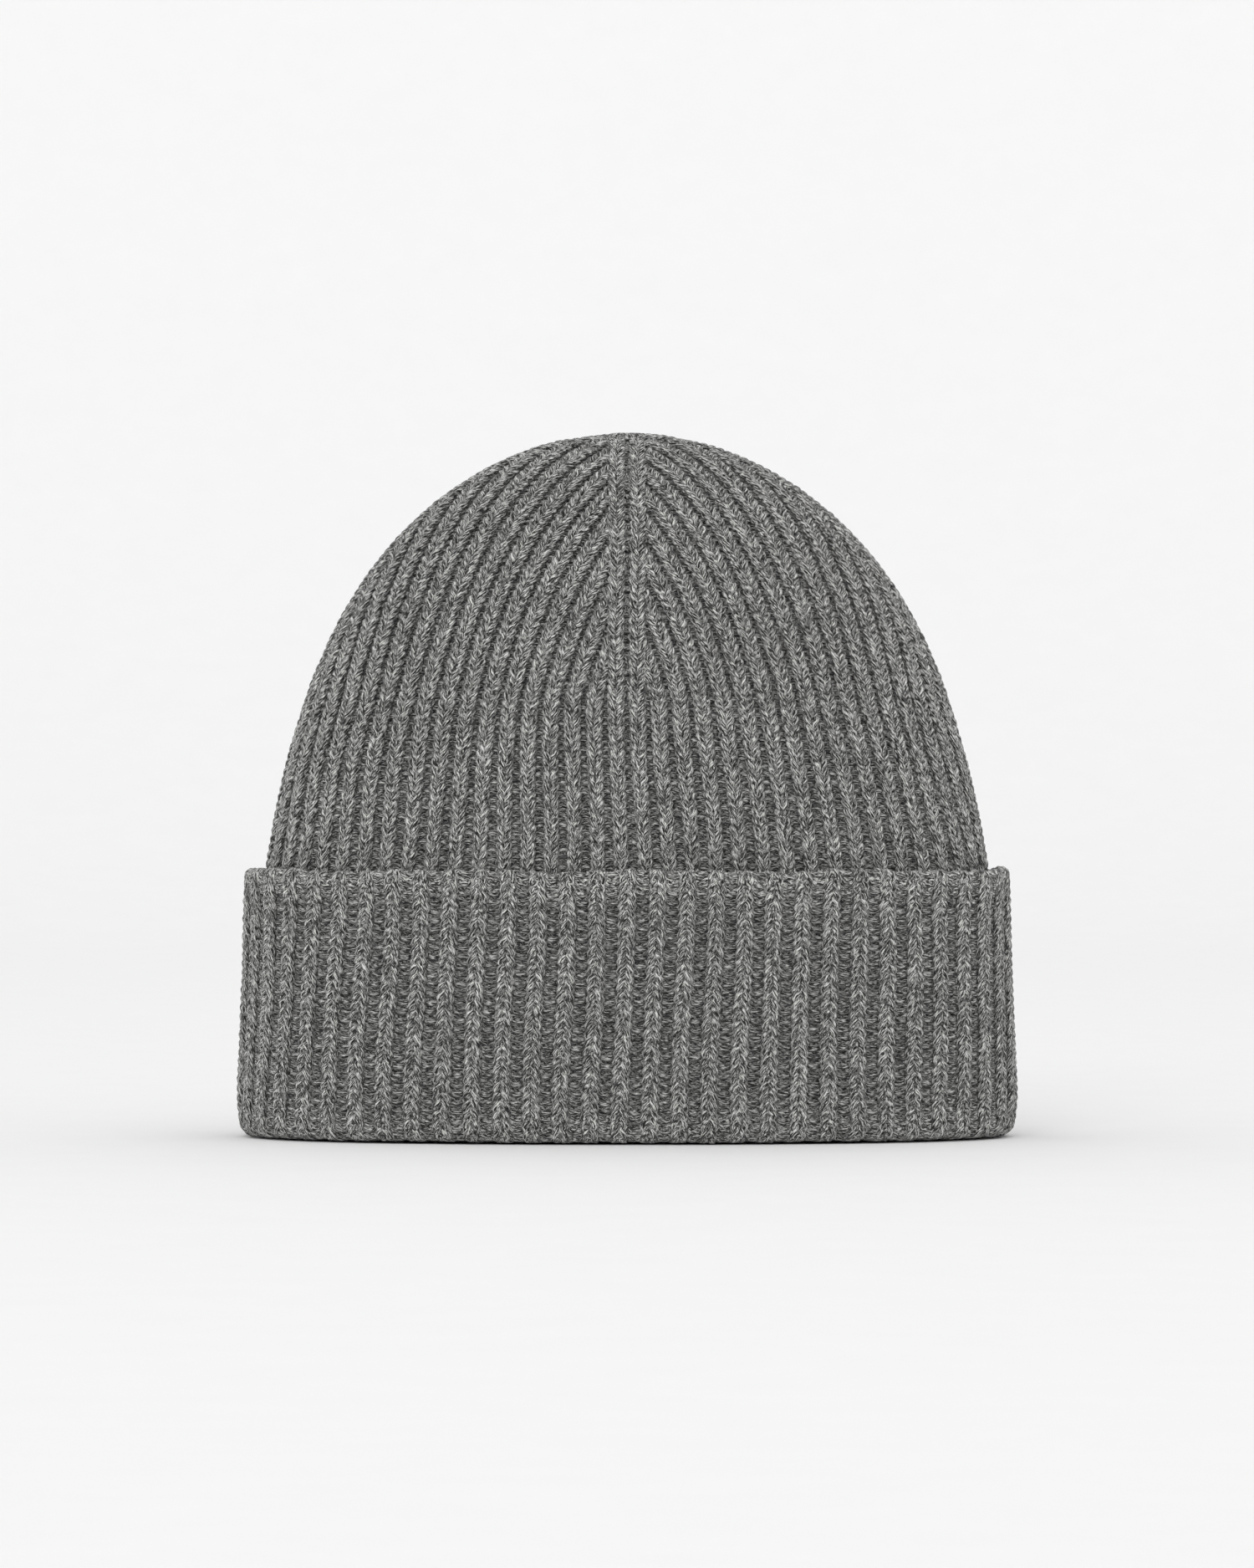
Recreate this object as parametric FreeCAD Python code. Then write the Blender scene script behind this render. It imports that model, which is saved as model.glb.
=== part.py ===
import FreeCAD, Part
import math
import os

# A knit beanie with a turned-up cuff, standing on its folded rim, lightly filled.
# Millimetres. +Z is up, the front faces -Y, and the origin is the middle of the rim.

# Overall size
HEIGHT = 198.0            # rim to apex
CUFF_HEIGHT = 75.5        # rim to the finished edge of the turned-up cuff
CUFF_HALF_WIDTH = 110.0   # half the cuff's width at the rim, outer face
CUFF_TOP_HALF_WIDTH = 107.3
CUFF_HALF_DEPTH = 53.5    # half the cuff's front-to-back depth at the rim, outer face
CUFF_TOP_HALF_DEPTH = 50.2
CROWN_HALF_WIDTH = 101.3  # half the width where the crown comes out of the cuff
CROWN_HALF_DEPTH = 44.6
FLATNESS = 2.35           # superellipse exponent of every level section: 2 is an ellipse

# Crown profile: straight taper times a rounded end
CROWN_TAPER = 0.2
CROWN_ROUNDNESS = 2.9
CROWN_LEVELS = 10         # sections in each crown loft
CROWN_TOP_SHARE = 0.998   # the last section, as a share of the crown's height

# Knit thickness and clearances
KNIT_THICKNESS = 4.0      # one layer of 1x1 rib
LAYER_GAP = 0.5           # between the fold and the inner band

# Cuff
FOLD_HEIGHT = 10.0        # the part of the cuff that turns under at the rim
RIM_INSET = 4.5           # the fold's rounding, seen from above
WELT_HEIGHT = 4.5         # tubular finished edge
WELT_ROUNDING = 2.2
ROUNDING_STEPS = 4        # levels in each rounded-over edge

# Back seam
SEAM_WIDTH = 3.2
SEAM_RIDGE = 1.4          # how far the linked seam stands proud inside the hat

# Closed apex
GATHER_RADIUS = 3.2
GATHER_HEIGHT = 6.0
GATHER_ROUNDING = 1.0
KNOT_RADIUS = 2.6

# Blank woven label, sewn inside the back of the band at both ends
LABEL_WIDTH = 50.0
LABEL_HEIGHT = 16.0
LABEL_THICKNESS = 0.8
LABEL_BOTTOM = 50.0
LABEL_END_FOLD = 4.0
LABEL_OFF_SEAM = 0.3
STITCHES_PER_END = 4
STITCH_LENGTH = 2.4
STITCH_THICKNESS = 0.6

# Blank care label, hanging from a sewn tab below the woven label
CARE_WIDTH = 28.0
CARE_LENGTH = 30.0
CARE_THICKNESS = 1.2
CARE_ROUNDING = 0.54      # on the label's two long folded edges
CARE_TOP = 44.0
CARE_HINGE_GAP = 1.6
CARE_TAB_HEIGHT = 2.4
CARE_TAB_THICKNESS = 1.2
CARE_OFF_SEAM = 2.0

SECTION_POINTS = 32
OVERCUT = 1.0             # how far a cutting solid runs past the face that it cuts


def section(half_width, half_depth, z):
    """A closed level outline: a superellipse through evenly turned points."""
    points = []
    for i in range(SECTION_POINTS):
        turn = 2 * math.pi * i / SECTION_POINTS
        across = math.copysign(abs(math.cos(turn)) ** (2 / FLATNESS), math.cos(turn))
        along = math.copysign(abs(math.sin(turn)) ** (2 / FLATNESS), math.sin(turn))
        points.append(FreeCAD.Vector(half_width * across, half_depth * along, z))
    curve = Part.BSplineCurve()
    curve.interpolate(points, PeriodicFlag=True)
    return Part.Wire([curve.toShape()])


def loft(levels, ruled=False):
    """A solid through level outlines, each given as (half_width, half_depth, z)."""
    return Part.makeLoft([section(*level) for level in levels], True, ruled)


def crown_scale(share):
    """The crown's width at a share of its height, against its width at the bottom."""
    return (1 - CROWN_TAPER * share) * math.sqrt(1 - share ** CROWN_ROUNDNESS)


def crown_block(inset):
    """The crown as one filled block above the cuff's edge, shrunk by inset on every side."""
    half_width = CROWN_HALF_WIDTH - inset
    half_depth = CROWN_HALF_DEPTH - inset
    rise = HEIGHT - inset - CUFF_HEIGHT
    shares = [math.sin(math.pi / 2 * i / CROWN_LEVELS) for i in range(CROWN_LEVELS)]
    levels = []
    for share in shares + [CROWN_TOP_SHARE]:
        scale = crown_scale(share)
        levels.append((half_width * scale, half_depth * scale, CUFF_HEIGHT + rise * share))
    return loft(levels)


def band_block(inset, low, high):
    """The straight band as a filled block between two heights."""
    outline = section(CROWN_HALF_WIDTH - inset, CROWN_HALF_DEPTH - inset, low)
    return Part.Face(outline).extrude(FreeCAD.Vector(0, 0, high - low))


def back_slab():
    """The strip of space at the back that the seam runs up."""
    corner = FreeCAD.Vector(-SEAM_WIDTH / 2, 0, 0)
    return Part.makeBox(SEAM_WIDTH, CUFF_HALF_DEPTH + OVERCUT, HEIGHT + OVERCUT, corner)


def apex_plug():
    """The round hole at the apex that the drawn-up loops close."""
    corner = FreeCAD.Vector(0, 0, HEIGHT - GATHER_HEIGHT)
    return Part.makeCylinder(GATHER_RADIUS, GATHER_HEIGHT + OVERCUT, corner)


def crown():
    """The shaped top, hollow and open below, with room for the back seam and the closed apex."""
    wall = crown_block(0).cut(crown_block(KNIT_THICKNESS))
    return wall.cut(back_slab()).cut(apex_plug())


def inner_band():
    """The straight band under the cuff, knitted in one with the crown."""
    low = FOLD_HEIGHT + LAYER_GAP
    outer = band_block(0, low, CUFF_HEIGHT)
    inner = band_block(KNIT_THICKNESS, low - OVERCUT, CUFF_HEIGHT + OVERCUT)
    return outer.cut(inner).cut(back_slab())


def back_seam():
    """The linked seam up the back, from the fold to the closed apex, proud on the inside."""
    low = FOLD_HEIGHT + LAYER_GAP
    depth = KNIT_THICKNESS + SEAM_RIDGE
    upper = crown_block(0).cut(crown_block(depth)).common(back_slab()).cut(apex_plug())
    lower = band_block(0, low, CUFF_HEIGHT)
    lower = lower.cut(band_block(depth, low - OVERCUT, CUFF_HEIGHT + OVERCUT)).common(back_slab())
    return upper.fuse(lower).removeSplitter()


def crown_gather():
    """The last loops, drawn up into a small round bead at the apex."""
    bead = Part.makeCylinder(GATHER_RADIUS, GATHER_HEIGHT, FreeCAD.Vector(0, 0, HEIGHT - GATHER_HEIGHT))
    top_edges = [edge for edge in bead.Edges if edge.BoundBox.ZMin > HEIGHT - OVERCUT]
    return bead.makeFillet(GATHER_ROUNDING, top_edges)


def closing_knot():
    """The knot that holds the drawn-up yarn, inside the crown."""
    middle = HEIGHT - GATHER_HEIGHT - KNOT_RADIUS
    return Part.makeSphere(KNOT_RADIUS, FreeCAD.Vector(0, 0, middle))


def cuff_half(z):
    """The cuff's outer half width and half depth at a height: it flares slightly to the rim."""
    share = z / CUFF_HEIGHT
    half_width = CUFF_HALF_WIDTH + (CUFF_TOP_HALF_WIDTH - CUFF_HALF_WIDTH) * share
    half_depth = CUFF_HALF_DEPTH + (CUFF_TOP_HALF_DEPTH - CUFF_HALF_DEPTH) * share
    return half_width, half_depth


def cuff_inside(low, high):
    """The filled space inside the cuff's outer layer, between two heights."""
    levels = []
    for z in (low, high):
        half_width, half_depth = cuff_half(z)
        levels.append((half_width - KNIT_THICKNESS, half_depth - KNIT_THICKNESS, z))
    return levels


def cuff_wall():
    """The cuff's outer layer all the way round, between the fold and the welt."""
    low = FOLD_HEIGHT
    high = CUFF_HEIGHT - WELT_HEIGHT
    outer = loft([(*cuff_half(low), low), (*cuff_half(high), high)], ruled=True)
    inner = loft(cuff_inside(low - OVERCUT, high + OVERCUT), ruled=True)
    return outer.cut(inner)


def cuff_layer():
    """The turned-up outer layer, with room for its own back seam."""
    return cuff_wall().cut(back_slab())


def rounded_levels(half_size, rounding, low, high):
    """Outline levels for a wall whose edge at low is rounded over by a quarter turn."""
    levels = []
    for i in range(ROUNDING_STEPS + 1):
        turn = math.pi / 2 * i / ROUNDING_STEPS
        z = low + (high - low) * (1 - math.cos(turn))
        inset = rounding * (1 - math.sin(turn))
        half_width, half_depth = half_size(z)
        levels.append((half_width - inset, half_depth - inset, z))
    return levels


def cuff_fold():
    """The rim, where the knit turns under: a soft roll with a narrow flat foot."""
    outer = loft(rounded_levels(cuff_half, RIM_INSET, 0, FOLD_HEIGHT))
    inset = KNIT_THICKNESS
    foot = (CROWN_HALF_WIDTH - inset + RIM_INSET / 2, CROWN_HALF_DEPTH - inset + RIM_INSET / 2, -OVERCUT)
    neck_low = (CROWN_HALF_WIDTH - inset, CROWN_HALF_DEPTH - inset, RIM_INSET)
    neck_high = (CROWN_HALF_WIDTH - inset, CROWN_HALF_DEPTH - inset, FOLD_HEIGHT + OVERCUT)
    flare = loft([foot, neck_low], ruled=True)
    neck = loft([neck_low, neck_high], ruled=True)
    return outer.cut(flare).cut(neck)


def cuff_welt():
    """The finished edge at the top of the cuff, rounded over on its outer side."""
    low = CUFF_HEIGHT - WELT_HEIGHT
    levels = []
    for half_width, half_depth, z in rounded_levels(lambda z: cuff_half(CUFF_HEIGHT - z),
                                                    WELT_ROUNDING, 0, WELT_HEIGHT):
        levels.append((half_width, half_depth, CUFF_HEIGHT - z))
    levels.reverse()
    inner = loft(cuff_inside(low - OVERCUT, CUFF_HEIGHT + OVERCUT), ruled=True)
    return loft(levels).cut(inner)


def cuff_seam():
    """The linked seam up the back of the cuff's outer layer, flush with the knit."""
    return cuff_wall().common(back_slab())


def label_box(half_width, low, high):
    """A slab of space across the inside of the back, to cut label strips from."""
    corner = FreeCAD.Vector(-half_width, 0, low)
    return Part.makeBox(2 * half_width, CROWN_HALF_DEPTH, high - low, corner)


def curved_strip(near, far, half_width, low, high):
    """A strip that follows the inside of the back, between two insets from the outer face."""
    outer = band_block(near, low - OVERCUT, high + OVERCUT)
    inner = band_block(far, low - 2 * OVERCUT, high + 2 * OVERCUT)
    return outer.cut(inner).common(label_box(half_width, low, high))


def woven_label():
    """A blank label across the seam, its two ends folded under onto the band."""
    near = KNIT_THICKNESS + SEAM_RIDGE + LABEL_OFF_SEAM
    high = LABEL_BOTTOM + LABEL_HEIGHT
    half = LABEL_WIDTH / 2
    strip = curved_strip(near, near + LABEL_THICKNESS, half, LABEL_BOTTOM, high)
    ends = curved_strip(KNIT_THICKNESS, near, half, LABEL_BOTTOM, high)
    ends = ends.cut(label_box(half - LABEL_END_FOLD, LABEL_BOTTOM - OVERCUT, high + OVERCUT))
    return strip.fuse(ends).removeSplitter()


def label_stitches():
    """Short stitches down both ends of the woven label, on its face."""
    near = KNIT_THICKNESS + SEAM_RIDGE + LABEL_OFF_SEAM + LABEL_THICKNESS
    spacing = LABEL_HEIGHT / STITCHES_PER_END
    middle = LABEL_WIDTH / 2 - LABEL_END_FOLD / 2
    stitches = []
    for i in range(STITCHES_PER_END):
        low = LABEL_BOTTOM + spacing * (i + 0.5) - STITCH_LENGTH / 2
        row = curved_strip(near, near + STITCH_THICKNESS, middle + STITCH_THICKNESS / 2,
                           low, low + STITCH_LENGTH)
        row = row.cut(label_box(middle - STITCH_THICKNESS / 2, low - OVERCUT, low + STITCH_LENGTH + OVERCUT))
        stitches.extend(row.Solids)
    return Part.makeCompound(stitches)


def care_plane():
    """How far back the middle of the hanging care label is."""
    return CROWN_HALF_DEPTH - KNIT_THICKNESS - SEAM_RIDGE - CARE_OFF_SEAM - CARE_THICKNESS / 2


def care_label():
    """A blank folded satin label, hanging straight down from its sewn edge."""
    corner = FreeCAD.Vector(-CARE_WIDTH / 2, care_plane() - CARE_THICKNESS / 2, CARE_TOP - CARE_LENGTH)
    label = Part.makeBox(CARE_WIDTH, CARE_THICKNESS, CARE_LENGTH, corner)
    across = [edge for edge in label.Edges if edge.BoundBox.XLength > CARE_WIDTH - OVERCUT]
    return label.makeFillet(CARE_ROUNDING, across)


def care_label_tab():
    """The sewn end of the care label, held against the inside of the band."""
    low = CARE_TOP + CARE_HINGE_GAP
    near = care_plane() - CARE_TAB_THICKNESS / 2
    corner = FreeCAD.Vector(-CARE_WIDTH / 2, near, low)
    block = Part.makeBox(CARE_WIDTH, CROWN_HALF_DEPTH, CARE_TAB_HEIGHT, corner)
    inside = band_block(KNIT_THICKNESS, low - OVERCUT, low + CARE_TAB_HEIGHT + OVERCUT)
    return block.common(inside).cut(back_seam())


NODES = {
    "crown": crown,
    "inner_band": inner_band,
    "back_seam": back_seam,
    "crown_gather": crown_gather,
    "closing_knot": closing_knot,
    "cuff_layer": cuff_layer,
    "cuff_fold": cuff_fold,
    "cuff_welt": cuff_welt,
    "cuff_seam": cuff_seam,
    "woven_label": woven_label,
    "label_stitches": label_stitches,
    "care_label": care_label,
    "care_label_tab": care_label_tab,
}


def main():
    os.makedirs("parts", exist_ok=True)
    for name, build in NODES.items():
        shape = build()
        shape.exportStep("parts/" + name + ".step")
        box = shape.BoundBox
        print(name, "valid", shape.isValid(), "solids", len(shape.Solids), "cm3", round(shape.Volume / 1000, 2),
              "x", round(box.XMin, 1), round(box.XMax, 1), "y", round(box.YMin, 1), round(box.YMax, 1),
              "z", round(box.ZMin, 1), round(box.ZMax, 1))


main()
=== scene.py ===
"""A rib-knit beanie, knitted stitch by stitch as real yarn around the CAD frame.

Every course of the rib is one yarn tube whose path loops from knit wale to purl wale. The courses lie
on the frame's middle surfaces: the crown with its inner band, and the cuff with its fold and welt.
A place on either surface is (turn, run). turn counts quarters round the hat: 0 front, 1 right (+X),
2 back, 3 left. run is a length in metres along the knit, in the direction that it was knitted.
"""
import math

import bpy
import numpy as np
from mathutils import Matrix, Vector

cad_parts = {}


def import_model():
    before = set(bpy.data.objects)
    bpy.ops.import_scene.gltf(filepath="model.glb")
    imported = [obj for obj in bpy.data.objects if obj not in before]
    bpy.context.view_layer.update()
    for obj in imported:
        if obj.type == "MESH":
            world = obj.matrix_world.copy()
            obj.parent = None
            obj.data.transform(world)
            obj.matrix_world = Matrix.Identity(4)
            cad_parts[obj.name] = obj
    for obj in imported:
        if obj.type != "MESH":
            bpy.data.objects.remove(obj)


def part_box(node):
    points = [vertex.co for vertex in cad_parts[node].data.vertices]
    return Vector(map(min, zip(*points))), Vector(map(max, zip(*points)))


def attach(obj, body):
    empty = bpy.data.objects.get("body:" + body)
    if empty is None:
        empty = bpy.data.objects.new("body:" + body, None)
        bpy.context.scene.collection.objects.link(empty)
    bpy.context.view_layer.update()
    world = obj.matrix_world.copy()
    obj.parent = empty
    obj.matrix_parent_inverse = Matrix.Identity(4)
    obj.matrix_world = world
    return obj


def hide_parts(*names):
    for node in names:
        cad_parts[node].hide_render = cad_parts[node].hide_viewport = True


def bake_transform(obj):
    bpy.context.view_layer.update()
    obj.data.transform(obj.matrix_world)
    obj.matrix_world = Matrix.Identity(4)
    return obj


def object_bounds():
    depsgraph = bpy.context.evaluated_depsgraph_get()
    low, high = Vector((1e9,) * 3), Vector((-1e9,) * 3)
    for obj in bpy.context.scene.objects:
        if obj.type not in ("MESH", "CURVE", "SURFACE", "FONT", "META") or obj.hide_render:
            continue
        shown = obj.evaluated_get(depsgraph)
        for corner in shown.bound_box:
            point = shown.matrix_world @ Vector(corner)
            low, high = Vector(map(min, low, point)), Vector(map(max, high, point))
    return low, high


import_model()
cad_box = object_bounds()

MM = 0.001
FULL_TURN = 2 * math.pi

# Sizes that the frame gives
crown_low, crown_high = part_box("crown")
band_low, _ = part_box("inner_band")
_, fold_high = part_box("cuff_fold")
_, welt_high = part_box("cuff_welt")
label_low, label_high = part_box("woven_label")
care_low, care_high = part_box("care_label")
tab_low, tab_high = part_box("care_label_tab")
knot_low, knot_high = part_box("closing_knot")
CROWN_HALF_WIDTH = crown_high.x
CROWN_HALF_DEPTH = crown_high.y
APEX = cad_box[1].z
CUFF_TOP = crown_low.z
BAND_BOTTOM = band_low.z

# The form's formula, the same as the frame's
FLATNESS = 2.35
CROWN_TAPER = 0.2
CROWN_ROUNDNESS = 2.9

# How many level outlines describe each part of the form
CROWN_OUTLINES = 1500
WELT_OUTLINES = 25
WALL_OUTLINES = 60
FOLD_OUTLINES = 49

# Yarn and stitches
YARN_RADIUS = 0.97 * MM
HALF_THICKNESS = 2.35 * MM  # from the fabric's middle to its outer face
POINTS_PER_RIB = 32
TUBE_SIDES = 6
STITCH_JITTER = 0.10 * MM
RIB_WANDER = 0.35 * MM
SOFT_WAVE = 0.45 * MM  # slow rise and fall of the whole surface
SEED = 7

# Slow waves: how many there are round the hat, the run over which each moves on by a radian, and its phase
RIB_WAVES = [(5, 22 * MM, 0.0), (11, -9 * MM, 1.3)]
RIB_WAVE_SHARES = [1.0, 0.6]
SURFACE_WAVES = [(3, 31 * MM, 0.7), (7, -24 * MM, 0.0)]

# Crown
RIBS_PER_GORE = 18
GORES = 4
CROWN_ROW = 2.35 * MM
OPEN_SPREAD = 0.195  # where a knit leg ends, as a share of the rib pitch, above the cuff
OPEN_VALLEY = 0.25 * MM  # how far the purl wales are drawn in there
CLOSED_SPREAD = 0.265  # the same where the ribs have drawn together, higher up
CLOSED_VALLEY = 0.75 * MM
CLOSING_START = 82 * MM  # heights between which the ribs draw together
CLOSING_END = 126 * MM
DECREASE_START = 122 * MM  # height where the ribs begin to run into the decrease lines
CROWN_LEAN = 1.8 * MM  # how far the upright ribs drift sideways on their way up
LEAN_GROWTH = 1.2  # how fast leaning ribs widen, measured level
DIP_SHARE = 0.75  # how far the courses turn square to the leaning ribs
DIP_BLEND = 30 * MM  # the run over which they do
UNDER_DEPTH = 1.3 * MM  # how far the merging ribs pass under the edge wales
UNDER_BLEND = 0.3  # over what share of a rib they go down
EDGE_LIFT = 0.20 * MM
JOIN_OVERLAP = 0.5 * MM  # how far each gore's yarn runs past its own edge
APEX_RELIEF = 0.45
APEX_BLEND = 16 * MM
EDGE_POINTS = 28
EDGE_LEAD_ROWS = 3  # rows over which an edge wale rises out of its rib
NARROWEST_GORE = 1.2 * MM  # half a gore's width where its edge wales end
LOWER_ROWS = 24  # rows of the crown in its lower pieces

# Cuff
CUFF_RIBS = 64
CUFF_ROW = 2.5 * MM
CUFF_SPREAD = 0.200
CUFF_VALLEY = 0.30 * MM
CUFF_LEAN = 2.0 * MM  # how far the ribs drift sideways from welt to rim
CUFF_LEAN_START = 10 * MM  # the run where that drift begins
CUFF_WAVE_START = 12 * MM  # the run where the soft wave begins, and over which it grows
RIM_CALM = 30 * MM  # the run before the rim over which drift and wave come to rest
THIN_YARN_GAIN = 0.18  # how much the yarn swells where the rib is flat
OUTER_INSET = 2.2 * MM  # the middle surface, in from the cuff's outer face
WELT_INSET = 1.35 * MM
WELT_RADIUS = 1.15 * MM
WELT_LEG = 4.5 * MM
WELT_BLEND = 9 * MM
WELT_ROLL = 16 * MM  # the run at which the roll of the welt has flattened out and its painted light has faded
WELT_RELIEF = 0.32
WELT_FLAT = 2 * MM  # how far each side of its top the welt's rib stays flat
WELT_RISE = 8 * MM  # the run over which the rib then deepens
EDGE_WAVE = 0.70 * MM  # how far the cuff's top edge rises and falls
EDGE_WAVE_DEPTH = 20 * MM  # how far down the cuff that reaches
EDGE_WAVES = [(0.5, 9, 0.6), (0.3, 16, 2.1), (0.2, 31, 0.0)]  # share, waves round the hat, and phase
FOLD_RELIEF = 0.20
FOLD_START = 25 * MM  # the run before the band where the rib begins to flatten
FOLD_BLEND = 12 * MM
FOLD_DEPTH = 1.70 * MM  # from the floor to the fold's middle surface
FOLD_SQUARENESS = 3.2

# Sewing
SEAM_STITCH = 2.3 * MM
SEAM_YARN_RADIUS = 0.5 * MM
CHAIN_RELIEF = 0.6 * MM  # how far a linking stitch rises and dips
# A linking stitch, in shares of the chain's width, of a stitch and of the relief
CHAIN_LOOP = [(-0.10, -0.60, -0.6), (-0.50, -0.10, 0.6), (-0.42, 0.55, 0.8), (0.0, 1.05, 0.0),
              (0.42, 0.55, 0.8), (0.50, -0.10, 0.6), (0.10, -0.60, -0.6)]
CHAIN_START = 0.7  # the first stitch's place, in stitches
SEAM_APEX_GAP = 12 * MM
CUFF_SEAM_START = WELT_LEG + 4 * MM
CUFF_SEAM_GAP = 16 * MM  # from its end to the cuff's

# The closed apex, and the knot inside it
ROSETTE_LOOPS = 20
ROSETTE_REACH = [0.6, 1.1, 2.2, 3.6, 5.0, 6.4]  # millimetres out from the apex, along a loop
ROSETTE_DROP = [5.0, 2.6, 1.1, 0.7, 1.0, 1.9]  # and down from its top
ROSETTE_TOP = APEX - 0.3 * MM
ROSETTE_SQUEEZE = 0.25  # how much nearer the loops lie at front and back
ROSETTE_TILT = 0.6  # how far their upper side turns outwards
ROSETTE_YARN_RADIUS = 0.75 * MM
KNOT_YARN_RADIUS = 0.62 * MM
KNOT_MARGIN = 0.7 * MM
KNOT_GAP = 0.15  # half the gap between the knot's two ends, in radians
KNOT_POINTS = 90

# Labels
LABEL_DEPTH = 4.3 * MM  # from the band's middle surface in to the label
LABEL_END_DROP = 1.3 * MM  # how much nearer to the band its sewn ends lie
LABEL_FLAT_SHARE = 0.78  # the share of its length that stays away from the band
LABEL_PUCKER = 0.18 * MM
LABEL_PUCKER_TURN = 9  # radians of pucker over half the label's length
LABEL_PUCKER_SLANT = 40 * MM  # the height over which the pucker moves on by a radian
LABEL_COLUMNS = 61
LABEL_ROWS = 17
LABEL_THICKNESS = 0.45 * MM
END_STITCHES = 7
END_STITCH_SPAN = (0.12, 0.88)  # shares of the label's height
END_STITCH_REACH = 0.9 * MM
END_STITCH_DEPTH = 3.9 * MM
END_STITCH_RISE = 0.45 * MM
END_STITCH_PLACE = 0.93  # share of the label's half length
END_STITCH_RADIUS = 0.22 * MM
LEAF_GAP = 0.42 * MM  # from the care label's middle to each of its two leaves
RIBBON_THICKNESS = 0.3 * MM
RIBBON_CURL = 0.7 * MM

# Felted middle of the knit
CORE_THICKNESS = 0.5 * MM
CORE_DEPTH = 0.6 * MM
CROWN_CORE_ROWS = 110
CUFF_CORE_ROWS = 70
BRIDGE_RELIEF = 0.55 * MM
BRIDGE_LENGTH = 12 * MM
BRIDGE_ROWS = 41
BRIDGE_COLUMNS = 10 * GORES * RIBS_PER_GORE

# Where each yarn starts along the pattern of its fibres, in metres, so that no two look the same
YARN_LEAD = 0.37
WALE_LEAD = 50
CUFF_LEAD = 80
SEAM_LEAD = 200
ROSETTE_LEAD = 300
KNOT_LEAD = 320
STITCH_LEAD = 340

# Wool's colours and fibres
PAINTED_DEPTH_CONTRAST = 0.75  # how much painted shade darkens the yarn inside the fabric, and painted light lightens it on its face
# the most that painted light may lighten the raised yarn
PAINTED_LIGHT_LIMIT = 1.12
FIBRES_ALONG = 880.0  # how fine the fibres are along the yarn, and round it
FIBRES_AROUND = 4.6
YARN_TWIST = 130.0  # radians in a metre
PLY_RELIEF = 0.25
PATCH_SCALE = 70.0
PATCH_TONE = 0.30
WARMTH = 0.965  # blue, as a share of red and green

# Picture
HAT_SHARE = 0.622  # the hat's width as a share of the picture's
LENS = 200  # in millimetres, as is the sensor
SENSOR = 36
FLOOR_RADIUS = 2.2
FLOOR_HOLE = 0.01
SWEEP_RADIUS = 1.2
SWEEP_START = 0.1  # radians
FLOOR_RINGS = 12
FLOOR_SIDES = 96


# ------------ surfaces

def round_outline(half_width, half_depth, samples=2001):
    """Turns, x and y as shares of the half sizes at equal steps of length, and a quarter's length.

    The first points crowd at both ends of the quarter, where the outline turns least evenly.
    """
    crowding = 1.5
    angle = np.linspace(0, 1, samples) ** crowding * math.pi / 2
    angle = np.unique(np.concatenate([angle, math.pi / 2 - angle]))
    x = half_width * np.sin(angle) ** (2 / FLATNESS)
    y = half_depth * np.cos(angle) ** (2 / FLATNESS)
    length = np.concatenate([[0], np.cumsum(np.hypot(np.diff(x), np.diff(y)))])
    even = np.linspace(0, length[-1], samples)
    x = np.interp(even, length, x) / half_width
    y = np.interp(even, length, y) / half_depth
    across = np.concatenate([x, x[::-1][1:], -x[1:], -x[::-1][1:]])
    along = np.concatenate([-y, y[::-1][1:], y[1:], -y[::-1][1:]])
    return np.linspace(0, 4, len(across)), across, along, length[-1]


class Form:
    """A middle surface of knit: level outlines stacked along a run.

    facing turns the normal outwards.
    edge_wave is how far the surface's top edge rises and falls on its way round the hat.
    """

    def __init__(self, half_width, half_depth, z, facing, edge_wave=0.0):
        inward = np.hypot(np.diff(half_width), np.diff(half_depth)) / math.sqrt(2)
        step = np.hypot(inward, np.diff(z))
        self.half_width = half_width
        self.half_depth = half_depth
        self.z = z
        self.facing = facing
        self.edge_wave = edge_wave
        self.run = np.concatenate([[0], np.cumsum(step)])
        self.length = self.run[-1]
        outline = round_outline(half_width.max(), half_depth.max())
        self.turns, self.across, self.along, self.quarter = outline
        self.front_arc = np.concatenate([[0], np.cumsum(np.hypot(np.diff(z), np.diff(half_depth)))])
        self.side_arc = np.concatenate([[0], np.cumsum(np.hypot(np.diff(z), np.diff(half_width)))])

    def place(self, turn, run):
        turn = np.mod(turn, 4)
        x = np.interp(run, self.run, self.half_width) * np.interp(turn, self.turns, self.across)
        y = np.interp(run, self.run, self.half_depth) * np.interp(turn, self.turns, self.along)
        z = np.interp(run, self.run, self.z)
        if self.edge_wave:
            angle = FULL_TURN * turn / 4
            uneven = sum(share * np.sin(waves * angle + phase) for share, waves, phase in EDGE_WAVES)
            near_edge = smoothstep((z - CUFF_TOP + EDGE_WAVE_DEPTH) / EDGE_WAVE_DEPTH)
            z = z + self.edge_wave * uneven * near_edge
        return np.stack([x, y, z], axis=-1)

    def scale(self, run):
        return np.interp(run, self.run, self.half_width) / self.half_width.max()

    def run_at_height(self, z):
        return float(np.interp(z, self.z, self.run))

    def lifted(self, turn, run, lift):
        """Points raised from the surface along its normal by lift, and those normals."""
        turn, run, lift = np.broadcast_arrays(turn, run, lift)
        turn_step = 5e-4
        run_step = 0.1 * MM
        across = self.place(turn + turn_step, run) - self.place(turn - turn_step, run)
        up = self.place(turn, run + run_step) - self.place(turn, run - run_step)
        normal = unit(np.cross(across, up) * self.facing)
        return self.place(turn, run) + normal * lift[..., None], normal


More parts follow.
